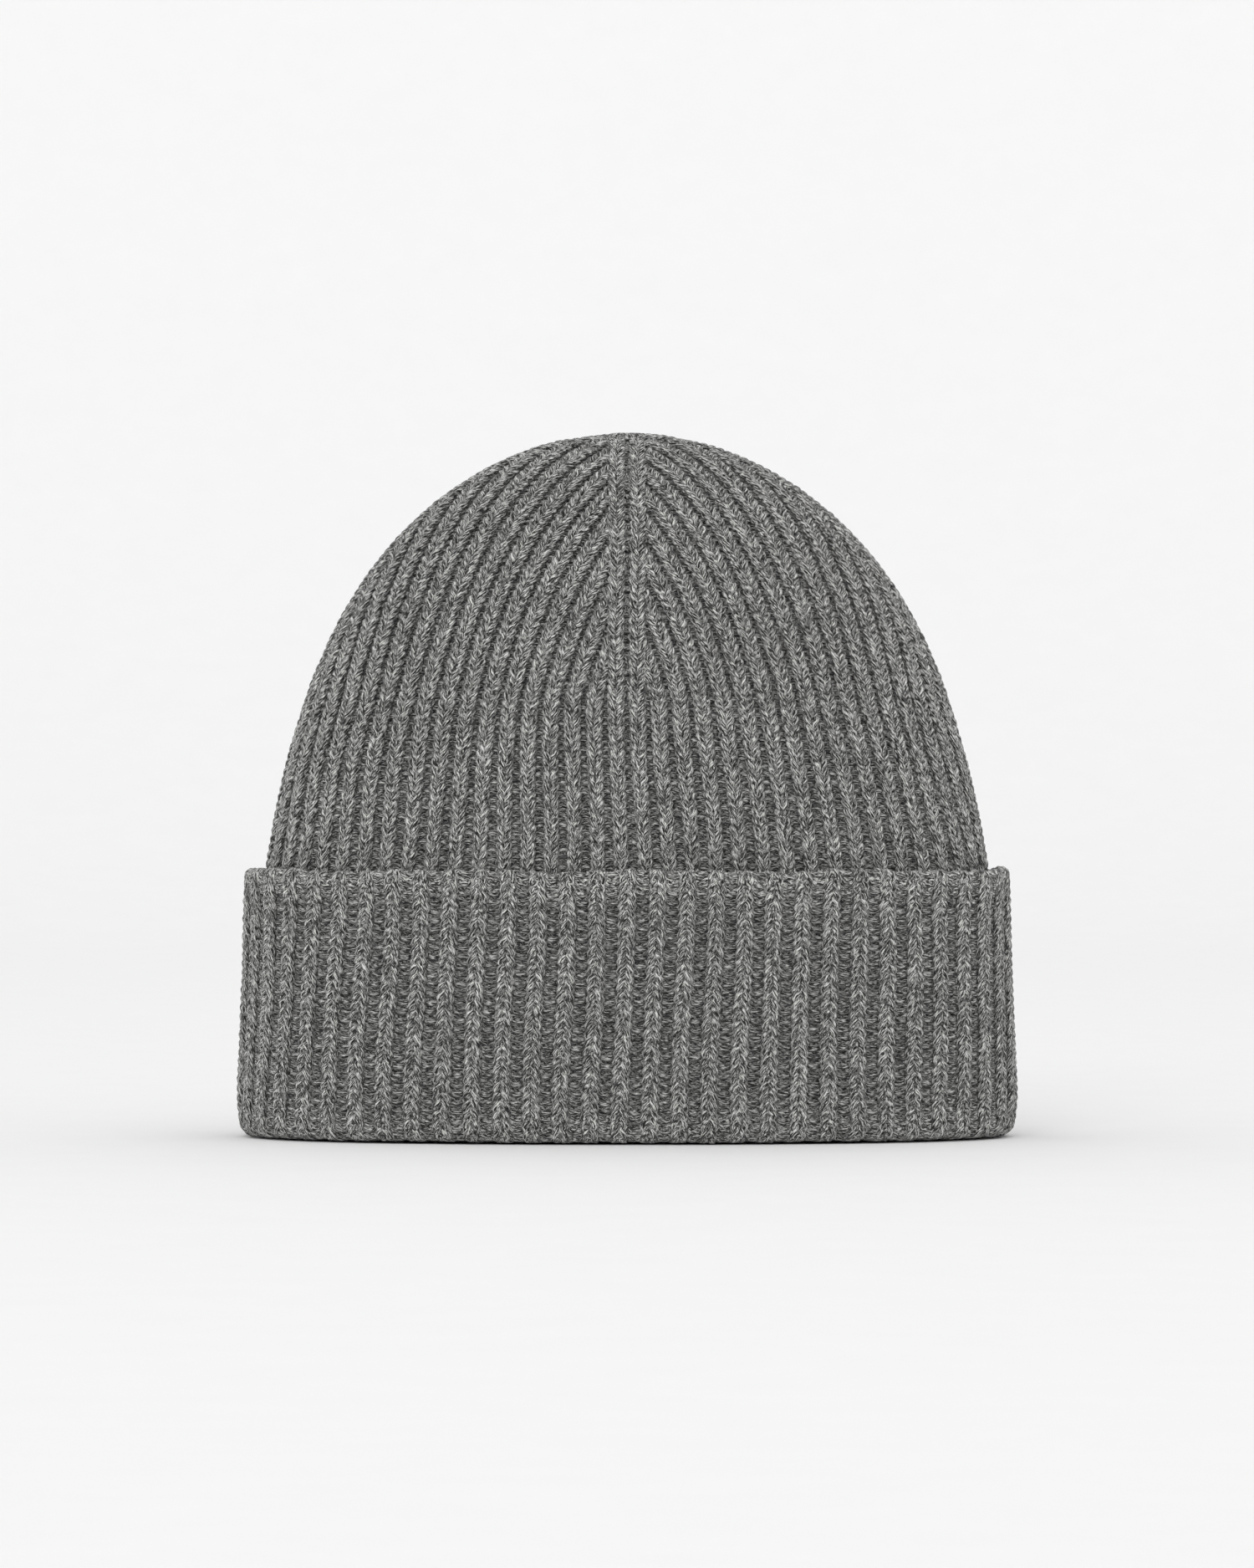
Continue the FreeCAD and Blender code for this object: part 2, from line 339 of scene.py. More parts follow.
def unit(vectors):
    return vectors / np.maximum(np.linalg.norm(vectors, axis=-1, keepdims=True), 1e-15)


def smoothstep(value):
    value = np.clip(value, 0, 1)
    return value * value * (3 - 2 * value)


def crown_form():
    """The crown above the band, from just under the band's lower edge to the apex."""
    half_width = CROWN_HALF_WIDTH - HALF_THICKNESS
    half_depth = CROWN_HALF_DEPTH - HALF_THICKNESS
    share = np.sin(np.linspace(0, math.pi / 2, CROWN_OUTLINES))
    scale = (1 - CROWN_TAPER * share) * np.sqrt(1 - share ** CROWN_ROUNDNESS)
    rise = CUFF_TOP + (APEX - HALF_THICKNESS - CUFF_TOP) * share
    scale = np.concatenate([[1], scale])
    z = np.concatenate([[BAND_BOTTOM - CROWN_ROW], rise])
    return Form(half_width * scale, half_depth * scale, z, 1)


def cuff_form():
    """The cuff: up inside the welt, over it, down the outside, and round the fold to the band."""
    band_inset = fold_high.x - CROWN_HALF_WIDTH + HALF_THICKNESS
    welt_z = CUFF_TOP - WELT_INSET - WELT_RADIUS
    welt_middle = WELT_INSET + WELT_RADIUS
    fold_radius = (band_inset - OUTER_INSET) / 2
    fold_z = FOLD_DEPTH + fold_radius
    over = np.linspace(0, math.pi, WELT_OUTLINES)
    down = np.linspace(welt_z, fold_z, WALL_OUTLINES)[1:-1]
    under = np.linspace(0, math.pi, FOLD_OUTLINES)
    power = 2 / FOLD_SQUARENESS
    corner = np.sign(np.cos(under)) * np.abs(np.cos(under)) ** power
    inset = np.concatenate([
        [welt_middle + WELT_RADIUS],
        welt_middle + WELT_RADIUS * np.cos(over),
        WELT_INSET + (OUTER_INSET - WELT_INSET) * smoothstep((welt_z - down) / WELT_BLEND),
        OUTER_INSET + fold_radius * (1 - corner),
        [band_inset],
    ])
    z = np.concatenate([
        [welt_z - WELT_LEG],
        welt_z + WELT_RADIUS * np.sin(over),
        down,
        fold_z - fold_radius * np.sin(under) ** power,
        [fold_high.z],
    ])
    share = np.clip(z / CUFF_TOP, 0, 1)
    half_width = fold_high.x + (welt_high.x - fold_high.x) * share - inset
    half_depth = fold_high.y + (welt_high.y - fold_high.y) * share - inset
    return Form(half_width, half_depth, z, -1, EDGE_WAVE)


crown = crown_form()
cuff = cuff_form()


# ------------ stitches

# Half of a knit loop, from the head down to the foot: across as a share of the leg's spread, rows up,
# and out from the fabric's middle.
LOOP_HALF = [
    (0.00, 0.90, -0.45 * MM),
    (0.70, 0.88, -0.10 * MM),
    (1.02, 0.56, 0.85 * MM),
    (0.90, 0.24, 1.38 * MM),
    (0.48, -0.12, 1.42 * MM),
    (0.08, -0.46, 0.75 * MM),
]
LOOP_TOP = 1.42 * MM
SINKER_DROP = -0.62
# An edge stitch's way on to the decrease line
EDGE_TAIL = [(0.28, -0.64, 0.10 * MM), (0.52, -0.55, -0.10 * MM)]


def catmull_rom(points, steps=8):
    """A smooth polyline through points, all but the first and the last, which only steer it."""
    t = (np.arange(steps) / steps)[:, None]
    spans = []
    for a, b, c, d in zip(points, points[1:], points[2:], points[3:]):
        spans.append(0.5 * (2 * b + (c - a) * t + (2 * a - 5 * b + 4 * c - d) * t ** 2
                            + (3 * b - a - 3 * c + d) * t ** 3))
    return np.vstack(spans + [points[-2:-1]])


def even_steps(dense, size, count, endpoint):
    """Points at equal steps of length along a polyline whose coordinates are in units of size."""
    length = np.concatenate([[0], np.cumsum(np.linalg.norm(np.diff(dense * size, axis=0), axis=1))])
    target = np.linspace(0, length[-1], count, endpoint=endpoint)
    return np.stack([np.interp(target, length, dense[:, k]) for k in range(3)], axis=1)


def knit_loop(spread):
    half = np.array(LOOP_HALF) * [spread, 1, 1]
    return np.vstack([half[::-1] * [-1, 1, 1], half[1:]])


def rib_path(spread, pitch, row, valley):
    """One rib of yarn, knit loop then purl loop: shares of the pitch, rows up, and metres out.

    valley is how much deeper than the middle the purl wale lies.
    """
    loop = knit_loop(spread)
    sinker = np.array([[0.25, SINKER_DROP, -valley / 2]])
    purl = loop * [1, 1, -1] + [0.5, 0, -valley]
    points = np.vstack([loop, sinker, purl, sinker + [0.5, 0, 0]])
    shift = np.array([1.0, 0, 0])
    ring = np.vstack([points[-1:] - shift, points, points[:2] + shift])
    return even_steps(catmull_rom(ring), np.array([pitch, row, 1]), POINTS_PER_RIB, False)


def stitch_path(spread, pitch, row):
    """One knit stitch alone, its ends reaching across the valleys beside it."""
    tail = np.array(EDGE_TAIL)
    points = np.vstack([tail[::-1] * [-1, 1, 1], knit_loop(spread), tail])
    points = np.vstack([2 * points[:1] - points[1:2], points, 2 * points[-1:] - points[-2:-1]])
    return even_steps(catmull_rom(points), np.array([pitch, row, 1]), EDGE_POINTS, True)


# ------------ meshes

def add_object(name, data):
    obj = bpy.data.objects.new(name, data)
    bpy.context.scene.collection.objects.link(obj)
    return obj


def build_mesh(name, verts, quads, uv_maps, height=None):
    """A mesh object from arrays, without the vertices that no face uses.

    height, in metres out from the fabric's middle, is kept as an attribute, from which the yarn's material
    paints shade in the valleys and light on the raised stitches.
    """
    used, quads = np.unique(quads, return_inverse=True)
    quads = quads.reshape(-1, 4)
    mesh = bpy.data.meshes.new(name)
    mesh.vertices.add(len(used))
    mesh.vertices.foreach_set("co", verts[used].astype(np.float32).ravel())
    mesh.loops.add(quads.size)
    mesh.loops.foreach_set("vertex_index", quads.astype(np.int32).ravel())
    mesh.polygons.add(len(quads))
    mesh.polygons.foreach_set("loop_start", np.arange(0, quads.size, 4, dtype=np.int32))
    mesh.update(calc_edges=True)
    mesh.shade_smooth()
    if height is not None:
        layer = mesh.attributes.new("height", "FLOAT", "POINT")
        layer.data.foreach_set("value", height[used].astype(np.float32))
    for layer, uv in uv_maps.items():
        mesh.uv_layers.new(name=layer).data.foreach_set("uv", uv.astype(np.float32).ravel())
    return add_object(name, mesh)


def corner_uv(u0, u1, v0, v1):
    """The UV of the four corners of every quad in a grid."""
    return np.stack(np.broadcast_arrays(u0, v0, u1, v0, u1, v1, u0, v1), axis=-1)


def tube_mesh(name, centre, normal, keep=None, radius=YARN_RADIUS, lead=0.0, height=None):
    """A mesh of capped yarn tubes: centre is (yarn, point, 3), keep says which points are built.

    The UV map "yarn" holds the length along the yarn in metres and the share of the way round it.
    """
    yarns, points, _ = centre.shape
    if keep is None:
        keep = np.ones((yarns, points), bool)
    tangent = unit(np.gradient(centre, axis=1))
    side = unit(np.cross(tangent, normal))
    out = np.cross(side, tangent)
    turn = FULL_TURN * np.arange(TUBE_SIDES) / TUBE_SIDES
    ring = (side[:, :, None, :] * np.cos(turn)[None, None, :, None]
            + out[:, :, None, :] * np.sin(turn)[None, None, :, None])
    radius = np.broadcast_to(radius, (yarns, points))
    verts = centre[:, :, None, :] + ring * radius[:, :, None, None]
    # Heights for the painted shade and light: yarn without one is toned as a raised stitch, and each tube's
    # side turned into the fabric is painted darker
    if height is None:
        height = np.full((yarns, points), LOOP_TOP)
    heights = height[:, :, None] + (ring * normal[:, :, None, :]).sum(axis=-1) * radius[:, :, None]
    step = np.linalg.norm(np.diff(centre, axis=1), axis=-1)
    length = np.concatenate([np.zeros((yarns, 1)), np.cumsum(step, axis=1)], axis=1)
    length = length + YARN_LEAD * np.arange(yarns)[:, None] + lead

    index = np.arange(yarns * points * TUBE_SIDES).reshape(yarns, points, TUBE_SIDES)
    after = np.roll(index, -1, axis=2)
    wall = np.stack([index[:, :-1], index[:, 1:], after[:, 1:], after[:, :-1]], axis=-1)
    round0 = (np.arange(TUBE_SIDES) / TUBE_SIDES)[None, None]
    round1 = round0 + 1 / TUBE_SIDES
    grain = corner_uv(length[:, :-1, None], length[:, 1:, None], round0, round1)
    along = (np.arange(points - 1) / points)[None, :, None]
    lane = (np.arange(yarns) / yarns)[:, None, None]
    bake = corner_uv(along, along + 1 / points, lane + round0 / yarns, lane + round1 / yarns)

    built = keep[:, :-1] & keep[:, 1:]
    padded = np.pad(built, ((0, 0), (1, 1)))
    first = index[padded[:, 1:] & ~padded[:, :-1]]
    last = index[padded[:, :-1] & ~padded[:, 1:]]
    cap_corners = [(k, k + 1, TUBE_SIDES - 2 - k, TUBE_SIDES - 1 - k)
                   for k in range(TUBE_SIDES // 2 - 1)]
    caps = [first[:, corners] for corners in cap_corners]
    caps += [last[:, corners[::-1]] for corners in cap_corners]
    caps = np.concatenate(caps)

    quads = np.concatenate([wall[built].reshape(-1, 4), caps])
    cap_uv = np.zeros((len(caps), 8))
    return build_mesh(name, verts.reshape(-1, 3), quads,
                      {"yarn": np.concatenate([grain[built].reshape(-1, 8), cap_uv]),
                       "OFBake": np.concatenate([bake[built].reshape(-1, 8), cap_uv])},
                      heights.ravel())


def slab_mesh(name, middle, normal, thickness, wrap):
    """A closed thin sheet from a grid of middle points; wrap joins its last column to its first."""
    rows, columns, _ = middle.shape
    verts = np.concatenate([(middle + normal * thickness / 2).reshape(-1, 3),
                            (middle - normal * thickness / 2).reshape(-1, 3)])
    index = np.arange(rows * columns).reshape(rows, columns)
    other = index + rows * columns
    if wrap:
        index = np.hstack([index, index[:, :1]])
        other = np.hstack([other, other[:, :1]])

    def grid(near, far_row, far_both, far_column):
        return np.stack([near, far_row, far_both, far_column], axis=-1).reshape(-1, 4)

    quads = [
        grid(index[:-1, :-1], index[:-1, 1:], index[1:, 1:], index[1:, :-1]),
        grid(other[:-1, :-1], other[1:, :-1], other[1:, 1:], other[:-1, 1:]),
        grid(index[0, 1:], index[0, :-1], other[0, :-1], other[0, 1:]),
        grid(index[-1, :-1], index[-1, 1:], other[-1, 1:], other[-1, :-1]),
    ]
    if not wrap:
        quads.append(grid(index[:-1, 0], index[1:, 0], other[1:, 0], other[:-1, 0]))
        quads.append(grid(index[1:, -1], index[:-1, -1], other[:-1, -1], other[1:, -1]))
    return build_mesh(name, verts, np.concatenate(quads), {})


def place_piece(obj, body, slot, material, *nodes):
    obj.data.materials.append(material)
    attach(obj, body)
    if nodes:
        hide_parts(*nodes)
    return obj


# ------------ small irregularities

def travelling_wave(turn, run, waves, length, phase):
    """A sine with whole waves round the hat, which moves on by a radian over each length of run."""
    return np.sin(waves * FULL_TURN * turn / 4 + run / length + phase)


def wander(turn, run):
    """A slow sideways drift of the ribs, in metres, the same on both sides of every join."""
    slow = sum(share * travelling_wave(turn, run, *wave) for share, wave in zip(RIB_WAVE_SHARES, RIB_WAVES))
    return RIB_WANDER * slow / sum(RIB_WAVE_SHARES)


def crown_drift(turn, run):
    """How far the crown's ribs stand aside of their even places, in metres."""
    lean = CROWN_LEAN * (1 - smoothstep((run - crown_rise) / (decrease_run - crown_rise)))
    return wander(turn, run) + lean


def soft_wave(turn, run):
    """A slow rise and fall of the surface, in metres."""
    long_wave, short_wave = (travelling_wave(turn, run, *wave) for wave in SURFACE_WAVES)
    return SOFT_WAVE * long_wave * short_wave


def jitter(random, rows, ribs, steps):
    """Lifts that differ from stitch to stitch and vanish where one rib's yarn meets the next."""
    window = np.sin(math.pi * np.arange(steps) / steps) ** 2
    most = 2 * STITCH_JITTER
    each = random.normal(0, STITCH_JITTER, (rows, ribs, 1)).clip(-most, most)
    return (each * window).reshape(rows, ribs * steps)


# ------------ crown and band

crown_rise = crown.run_at_height(CUFF_TOP)
decrease_run = crown.run_at_height(DECREASE_START)
slope_table = -np.gradient(crown.scale(crown.run) * crown.quarter / 2, np.maximum(crown.run, 1e-9))


def gore_half(run):
    """Half a gore's width at a run, along the level outline."""
    return crown.scale(run) * crown.quarter / 2


def gore_slope(run):
    """How fast the gore's half width shrinks."""
    return np.interp(run, crown.run, slope_table)


def rib_pitch(run):
    """The level pitch of the crown's ribs: even below the decreases, wider above where the ribs lean."""
    even = gore_half(run) * 2 / RIBS_PER_GORE
    start = gore_half(decrease_run) * 2 / RIBS_PER_GORE
    lean = np.sqrt(1 + (LEAN_GROWTH * gore_slope(run)) ** 2)
    lean_start = np.sqrt(1 + (LEAN_GROWTH * gore_slope(decrease_run)) ** 2)
    return np.where(run < decrease_run, even, start * lean / lean_start)


def dip(run):
    """How far a course has dropped at one pitch from the gore's middle, where the ribs lean."""
    blend = smoothstep((run - decrease_run) / DIP_BLEND) * DIP_SHARE
    width = 2 * np.maximum(gore_half(run), 1 * MM)
    return blend * rib_pitch(run) ** 2 * gore_slope(run) / width


def apex_relief(half):
    """How deep the rib is: it flattens where the gores narrow into the apex."""
    return APEX_RELIEF + (1 - APEX_RELIEF) * smoothstep(half / APEX_BLEND)


EDGE_PITCH = float(rib_pitch(decrease_run))


def joined_to_middle(keep, middle):
    """Only the stretch of each course that runs unbroken to the middle of its gore."""
    right = np.logical_and.accumulate(keep[:, middle:], axis=1)
    left = np.logical_and.accumulate(keep[:, middle::-1], axis=1)[:, ::-1]
    return np.concatenate([left[:, :-1], right], axis=1)


def crown_courses(name, gore, first_row, last_row):
    """The courses of one gore between two rows."""
    ribs = np.arange(-RIBS_PER_GORE // 2 - 1, RIBS_PER_GORE // 2)
    rows = np.arange(first_row, last_row)[:, None]
    height = np.interp((rows + 1) * CROWN_ROW, crown.run, crown.z)
    closed = smoothstep((height - CLOSING_START) / (CLOSING_END - CLOSING_START))
    open_path = rib_path(OPEN_SPREAD, EDGE_PITCH, CROWN_ROW, OPEN_VALLEY)
    closed_path = rib_path(CLOSED_SPREAD, EDGE_PITCH, CROWN_ROW, CLOSED_VALLEY)
    open_path = np.tile(open_path, (len(ribs), 1))
    closed_path = np.tile(closed_path, (len(ribs), 1))
    path = open_path[None] + closed[:, :, None] * (closed_path - open_path)[None]
    across = np.repeat(ribs + 0.5, POINTS_PER_RIB)[None] + path[:, :, 0]
    out = path[:, :, 2]
    course = (rows + 1 + path[:, :, 1]) * CROWN_ROW
    run = course - dip(np.clip(course, 0, crown.length)) * across ** 2
    offset = across * rib_pitch(run)
    half = gore_half(run)
    keep = (np.abs(offset) <= half + JOIN_OVERLAP) & (course < crown.length - CROWN_ROW)
    keep = joined_to_middle(keep & (half > EDGE_PITCH / 2), int(np.argmin(np.abs(across[0]))))
    under = smoothstep((np.abs(offset) - (half - EDGE_PITCH)) / (UNDER_BLEND * EDGE_PITCH))
    under = under * smoothstep((run - decrease_run) / (EDGE_LEAD_ROWS * CROWN_ROW))
    turn = gore + 0.5 + offset / np.maximum(2 * half, 1e-6)
    random = np.random.default_rng(SEED + 100 * gore + first_row)
    lift = out * apex_relief(half) - under * UNDER_DEPTH + soft_wave(turn, run)
    lift = lift + jitter(random, len(rows), len(ribs), POINTS_PER_RIB)
    turn = turn + crown_drift(turn, run) / crown.quarter
    points, normal = crown.lifted(turn, run, lift)
    height = out - under * UNDER_DEPTH
    return tube_mesh(name, points, normal, keep, lead=gore + first_row, height=height)


def edge_wale(name, gore, at_end):
    """The column of stitches along one side of a gore, over the ribs that the decreases take in."""
    line = gore + at_end
    arc = crown.front_arc if line % 2 == 0 else crown.side_arc
    path = stitch_path(CLOSED_SPREAD, EDGE_PITCH, CROWN_ROW)
    start = float(np.interp(decrease_run, crown.run, arc))
    rows = np.arange(-1, int((arc[-1] - start) / CROWN_ROW))[:, None]
    run = np.interp(start + (rows + path[None, :, 1]) * CROWN_ROW, arc, crown.run)
    half = gore_half(run)
    width = np.minimum(EDGE_PITCH, half)
    share = width * (0.5 + path[None, :, 0]) / np.maximum(2 * half, 1e-6)
    turn = line - share if at_end else line + share
    random = np.random.default_rng(SEED + 10 * line + at_end)
    rise = EDGE_LIFT * smoothstep((rows + 1) / EDGE_LEAD_ROWS)
    rise = rise + random.normal(0, STITCH_JITTER / 2, rows.shape)
    lift = (path[None, :, 2] + rise) * apex_relief(half) + soft_wave(turn, run)
    keep = np.broadcast_to((half > NARROWEST_GORE).all(axis=1, keepdims=True), half.shape)
    points, normal = crown.lifted(turn + crown_drift(turn, run) / crown.quarter, run, lift)
    lead = WALE_LEAD + 2 * line + at_end
    return tube_mesh(name, points, normal, keep, lead=lead, height=path[None, :, 2] + 0 * run)


def knit_crown(wool):
    row_count = int(crown.length / CROWN_ROW)
    band_rows = int((CUFF_TOP - BAND_BOTTOM) / CROWN_ROW)
    splits = [0, band_rows, band_rows + LOWER_ROWS, row_count]
    pieces = []
    for gore in range(GORES):
        for part, first, last in zip(("band", "crown_lower", "crown_upper"), splits, splits[1:]):
            piece = crown_courses(f"{part}_{gore + 1}", gore, first, last)
            node = "inner_band" if part == "band" else "crown"
            pieces.append(place_piece(piece, "crown", "crown_knit", wool, node))
        for at_end in (0, 1):
            piece = edge_wale(f"edge_wale_{gore + 1}_{'ab'[at_end]}", gore, at_end)
            pieces.append(place_piece(piece, "crown", "crown_knit", wool, "crown"))
    return pieces


# ------------ cuff

def relief(run):
    """How deep the rib is: shallow round the welt, full on the cuff, a little less round the fold."""
    top_run = WELT_LEG + WELT_RADIUS * math.pi / 2
    from_top = np.abs(run - top_run)
    welt = WELT_RELIEF + (1 - WELT_RELIEF) * smoothstep((from_top - WELT_FLAT) / WELT_RISE)
    fold_run = cuff.length - FOLD_START
    fold = 1 - (1 - FOLD_RELIEF) * smoothstep((run - fold_run) / FOLD_BLEND)
    return welt * fold


def cuff_wave(turn, run):
    """The soft wave, fading out at the welt and at the rim, which stands flat."""
    from_welt = smoothstep((run - CUFF_WAVE_START) / CUFF_WAVE_START)
    from_rim = smoothstep((cuff.length - run) / RIM_CALM)
    return soft_wave(turn, run) * from_welt * from_rim


def cuff_courses(name, quarter, first_row, last_row):
    """The courses of a quarter of the cuff between two rows."""
    path = rib_path(CUFF_SPREAD, 4 * cuff.quarter / CUFF_RIBS, CUFF_ROW, CUFF_VALLEY)
    count = CUFF_RIBS // 4
    ribs = np.arange(count)
    across = (ribs[:, None] + path[None, :, 0]).ravel()
    up = np.tile(path[:, 1], count)
    out = np.tile(path[:, 2], count)
    rows = np.arange(first_row, last_row)[:, None]
    run = (rows + 1 + up[None]) * CUFF_ROW
    turn = quarter + across[None] / count + 0 * run
    depth = relief(run)
    random = np.random.default_rng(SEED + 1000 + 100 * quarter + first_row)
    lift = out[None] * depth + cuff_wave(turn, run)
    lift = lift + jitter(random, len(rows), count, POINTS_PER_RIB)
    lean = CUFF_LEAN * smoothstep((run - CUFF_LEAN_START) / (cuff.length - RIM_CALM))
    turn = turn + (wander(turn, run) - lean) / cuff.quarter
    keep = np.broadcast_to(run < cuff.length, run.shape)
    points, normal = cuff.lifted(turn, run, lift)
    radius = YARN_RADIUS * (1 + THIN_YARN_GAIN * (1 - depth))
    # near the welt the height is raised, which paints light on the roll of the welt
    height = out[None] * depth + LOOP_TOP / 2 * smoothstep((WELT_ROLL - run) / WELT_BLEND)
    return tube_mesh(name, points, normal, keep, radius, lead=CUFF_LEAD + quarter, height=height)


def knit_cuff(wool):
    row_count = int(cuff.length / CUFF_ROW)
    half_way = row_count // 2
    pieces = []
    for quarter in range(4):
        upper = cuff_courses(f"cuff_upper_{quarter + 1}", quarter, 0, half_way)
        lower = cuff_courses(f"cuff_lower_{quarter + 1}", quarter, half_way, row_count)
        pieces.append(place_piece(upper, "cuff", "cuff_knit", wool, "cuff_layer", "cuff_welt"))
        pieces.append(place_piece(lower, "cuff", "cuff_knit", wool, "cuff_layer", "cuff_fold"))
    return pieces


# ------------ felted middle of the knit

def core(name, form, wave, first, last, rows, columns=256):
    """The matted fibres in the middle of the fabric, which close the gaps between the loops."""
    run = np.linspace(first, last, rows)[:, None]
    turn = np.linspace(0, 4, columns, endpoint=False)[None]
    middle, normal = form.lifted(turn, run, wave(turn, run) - CORE_DEPTH)
    if form.facing < 0:
        middle, normal = middle[::-1], normal[::-1]
    return slab_mesh(name, middle, normal, CORE_THICKNESS, True)


def rib_wave(turn, run):
    """The soft wave with the ribs' own rise and fall on it."""
    ribs = GORES * RIBS_PER_GORE
    place = turn / 4 - 0.5 / ribs
    return soft_wave(turn, run) + BRIDGE_RELIEF * np.cos(FULL_TURN * ribs * place)


def fabric_bridge(material):
    """The fabric between fold and band, which is drawn out as the cuff slides down the crown."""
    bridge = core("fabric_bridge", crown, rib_wave, 0, BRIDGE_LENGTH, BRIDGE_ROWS, BRIDGE_COLUMNS)
    bridge.data.materials.append(material)
    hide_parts("inner_band")
    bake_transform(bridge)
    return bridge


def flat_area(form, first, last, samples=400):
    """The area of the knitted panel between two runs, laid flat."""
    run = np.linspace(first, last, samples)
    return float(np.mean(4 * form.quarter * form.scale(run)) * (last - first))


def declare_fabric(form, first, last):
    """Works out the knitted panel's flat area before it was sewn up, and does nothing with it."""
    flat_area(form, first, last)


# ------------ seams, apex and labels

def chain_seam(name, form, first, last, facing, width, depth):
    """A column of linking stitches up the back, on one face of the fabric."""
    loop = np.array(CHAIN_LOOP)
    points = np.vstack([2 * loop[:1] - loop[1:2], loop, 2 * loop[-1:] - loop[-2:-1]])
    size = np.array([width, SEAM_STITCH, CHAIN_RELIEF])
    path = even_steps(catmull_rom(points), size, EDGE_POINTS, True)
    rows = np.arange(int((last - first) / SEAM_STITCH))[:, None]
    run = first + (rows + CHAIN_START + path[None, :, 1]) * SEAM_STITCH
    run = np.clip(run, first, last)
    drift = crown_drift(2 + 0 * run, run) if form is crown else 0
    turn = 2 + (path[None, :, 0] * width + drift) / (form.quarter * form.scale(run))
    lift = facing * (depth + path[None, :, 2] * CHAIN_RELIEF)
    centre, normal = form.lifted(turn, run, lift)
    return tube_mesh(name, centre, normal, None, SEAM_YARN_RADIUS, lead=SEAM_LEAD + facing)


def seams(yarn):
    """The back's linking stitches: on both faces of the crown's seam, and on the cuff's outer face."""
    # Name, form, first and last run, face, width and depth
    chains = [
        ("back_seam_outside", crown, CROWN_ROW, crown.length - SEAM_APEX_GAP, 1, 2.4 * MM, 0.1 * MM),
        ("back_seam_inside", crown, CROWN_ROW, crown.length - SEAM_APEX_GAP, -1, 2.6 * MM, 2.3 * MM),
        ("cuff_seam_chain", cuff, CUFF_SEAM_START, cuff.length - CUFF_SEAM_GAP, 1, 2.6 * MM, 1.7 * MM),
    ]
    for chain in chains:
        piece = chain_seam(*chain)
        body, node = ("cuff", "cuff_seam") if chain[1] is cuff else ("crown", "back_seam")
        place_piece(piece, body, "seam_yarn", yarn, node)


def gathered_loops(wool):
    """The last loops, drawn up in a small rosette that closes the apex."""
    angle = FULL_TURN * np.arange(ROSETTE_LOOPS)[:, None] / ROSETTE_LOOPS
    reach = np.array(ROSETTE_REACH)[None] * MM
    z = ROSETTE_TOP - np.array(ROSETTE_DROP)[None] * MM + 0 * angle
    squeeze = 1 - ROSETTE_SQUEEZE + ROSETTE_SQUEEZE * np.abs(np.cos(angle))
    centre = np.stack([reach * np.cos(angle), reach * squeeze * np.sin(angle), z], axis=-1)
    before = 2 * centre[:, :1] - centre[:, 1:2]
    after = 2 * centre[:, -1:] - centre[:, -2:-1]
    padded = np.concatenate([before, centre, after], axis=1)
    smooth = np.stack([catmull_rom(yarn, 4) for yarn in padded])
    up = np.broadcast_to(np.array([0.0, 0.0, 1.0]), smooth.shape)
    normal = up + ROSETTE_TILT * unit(smooth * [1, 1, 0])
    obj = tube_mesh("crown_rosette", smooth, normal, None, ROSETTE_YARN_RADIUS, lead=ROSETTE_LEAD)
    return place_piece(obj, "crown", "crown_knit", wool, "crown_gather")


def overhand_knot(yarn):
    """The drawn-up yarn's knot, inside the crown."""
    centre = np.array(((knot_low + knot_high) / 2)[:])
    size = (knot_high.x - knot_low.x) / 2 - KNOT_MARGIN
    t = np.linspace(KNOT_GAP, FULL_TURN - KNOT_GAP, KNOT_POINTS)
    x = np.sin(t) + 2 * np.sin(2 * t)
    y = np.cos(t) - 2 * np.cos(2 * t)
    trefoil = np.stack([x, y, -np.sin(3 * t)], axis=1)
    path = (centre + trefoil / 3 * size)[None]
    normal = np.broadcast_to(np.array([0.0, 0.0, 1.0]), path.shape)
    obj = tube_mesh("knot_yarn", path, normal, None, KNOT_YARN_RADIUS, lead=KNOT_LEAD)
    return place_piece(obj, "crown", "seam_yarn", yarn, "closing_knot")


def woven_label(material):
    """A blank woven label, lying across the seam inside the back."""
    half = (label_high.x - label_low.x) / 2
    x_share = np.linspace(-1, 1, LABEL_COLUMNS)[None]
    z = np.linspace(label_low.z, label_high.z, LABEL_ROWS)[:, None]
    run = np.interp(z, crown.z, crown.run)
    sewn = smoothstep((np.abs(x_share) - LABEL_FLAT_SHARE) / (1 - LABEL_FLAT_SHARE))
    slant = (z - label_low.z) / LABEL_PUCKER_SLANT
    pucker = LABEL_PUCKER * np.sin(LABEL_PUCKER_TURN * x_share + slant)
    depth = LABEL_DEPTH - LABEL_END_DROP * sewn + pucker
    centre, normal = crown.lifted(2 + x_share * half / crown.quarter, run + 0 * x_share, -depth)
    label = slab_mesh("label_cloth", centre, normal, LABEL_THICKNESS, False)
    place_piece(label, "crown", "label_woven", material, "woven_label")


